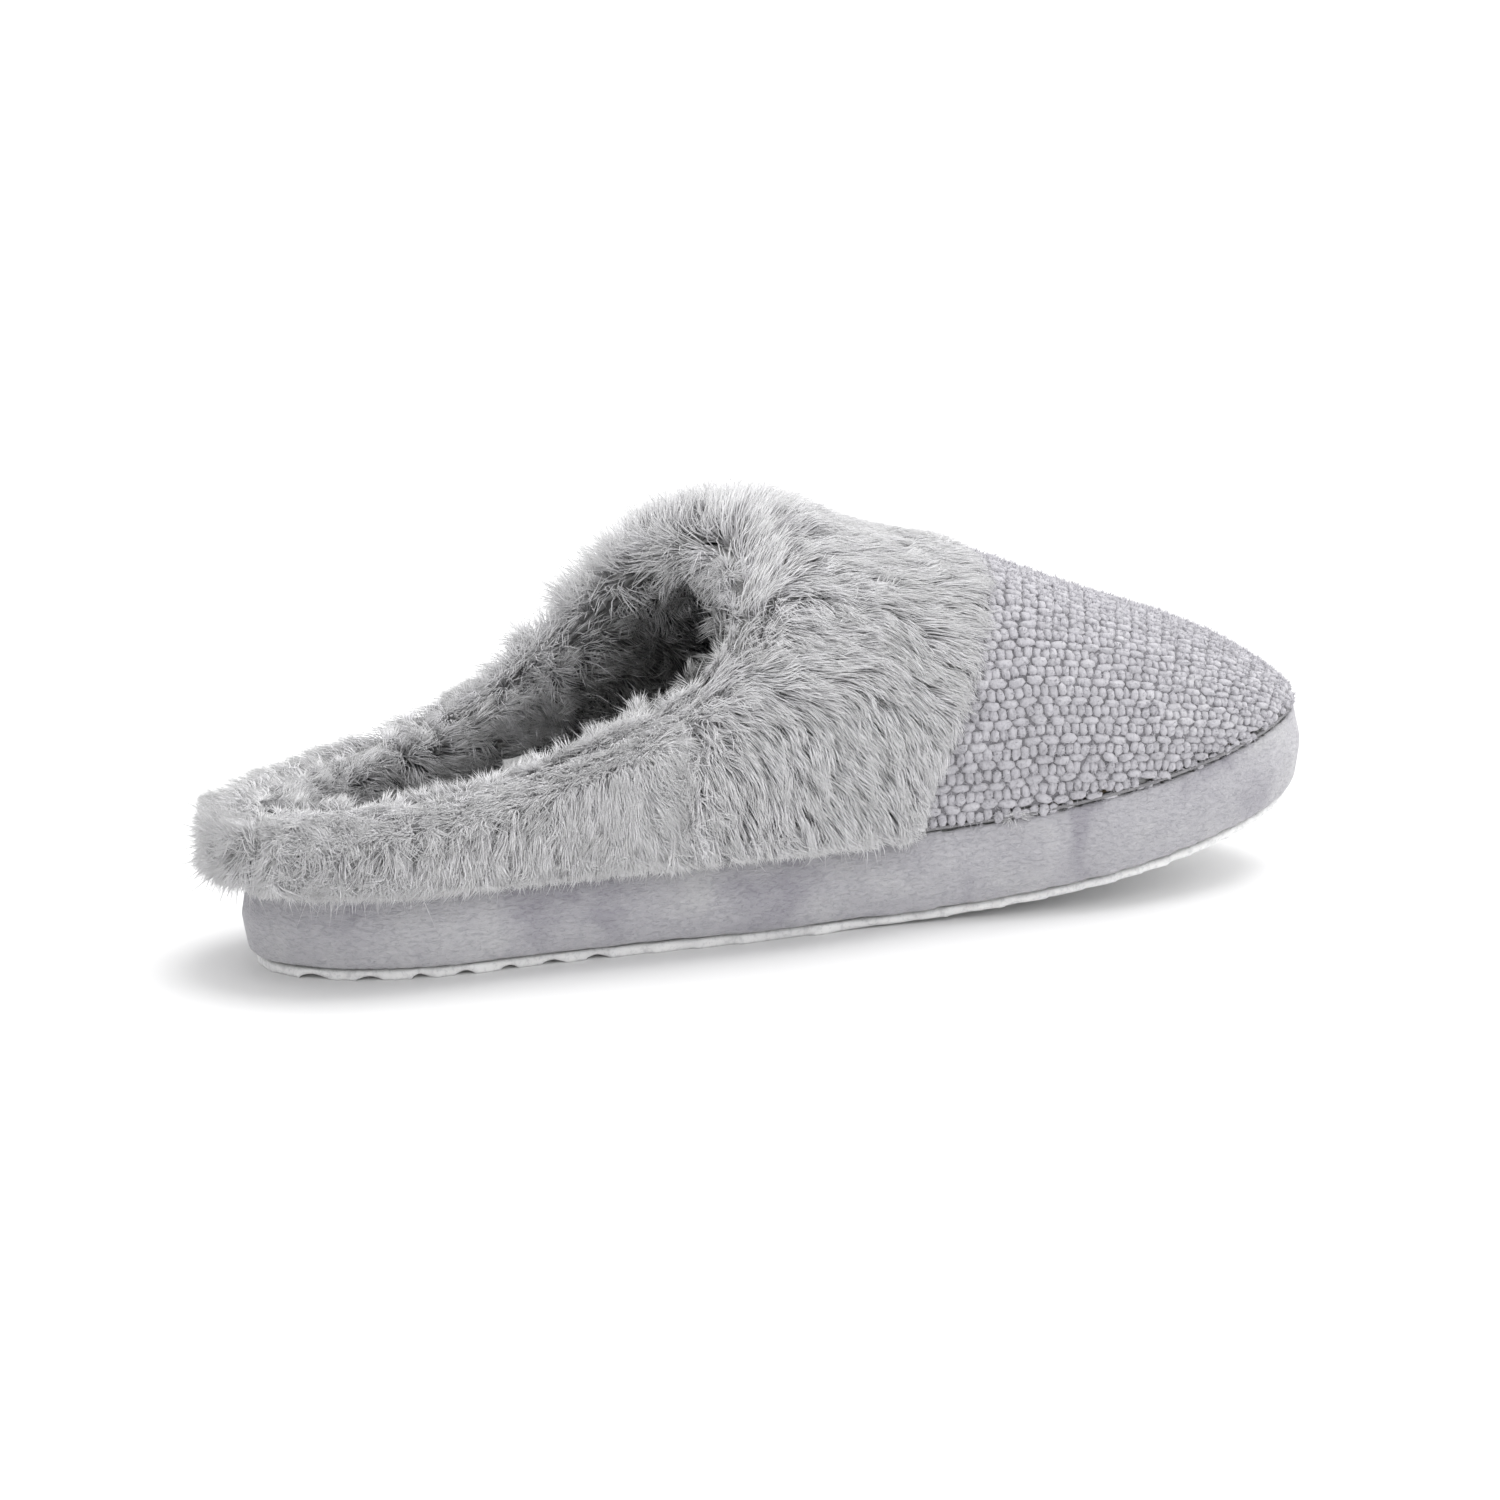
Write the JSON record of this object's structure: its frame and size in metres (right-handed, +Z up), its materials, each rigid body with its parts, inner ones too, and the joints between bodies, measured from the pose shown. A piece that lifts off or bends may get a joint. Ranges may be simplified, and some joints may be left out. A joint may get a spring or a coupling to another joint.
{
  "type": "house slipper",
  "caption": "Left backless house slipper: foam platform in a velour cover, knitted vamp, faux-fur cuff and collar round an open foot cavity.",
  "frame": {"origin": "centre of the bounding box's bottom face, on the floor under the middle of the slipper", "axes": "+X from the heel to the toe, +Y towards the outer (lateral) side of this left slipper, +Z up"},
  "size_m": [0.272, 0.0904, 0.0943],
  "materials": {
    "outsole_rubber": "white thermoplastic rubber, satin, waved tread",
    "platform_foam": "cut face of closed-cell foam",
    "velour": "short-pile grey velour with brushed patches",
    "fibre_board": "matt pressed fibre board",
    "soft_foam": "open-cell foam",
    "chenille_knit": "light grey chenille moss-stitch knit",
    "toe_lining": "thin brushed grey jersey",
    "faux_fur": "long-pile grey faux fur, darker at the roots",
    "lining_fur": "shorter grey faux fur",
    "thread": "twisted polyester thread",
    "label_tape": "blank white satin tape"
  },
  "bodies": {
    "root": {"outsole": "outsole_rubber", "platform_foam": "platform_foam", "sole_cover": "velour", "insole_board": "fibre_board", "footbed_foam": "soft_foam", "sock_lining": "lining_fur", "knit_vamp": "chenille_knit", "vamp_foam": "soft_foam", "toe_lining": "toe_lining", "fur_cuff": "faux_fur", "cuff_fur_lining": "lining_fur", "fur_quarter_medial": "faux_fur", "fur_quarter_lateral": "faux_fur", "collar_foam_medial": "soft_foam", "collar_foam_lateral": "soft_foam", "collar_fur_lining_medial": "lining_fur", "collar_fur_lining_lateral": "lining_fur", "platform_seam_thread": "thread", "cuff_seam_thread": "thread", "heel_seam_thread": "thread", "side_seam_thread_medial": "thread", "side_seam_thread_lateral": "thread", "size_label": "label_tape"}
  },
  "joints": []
}
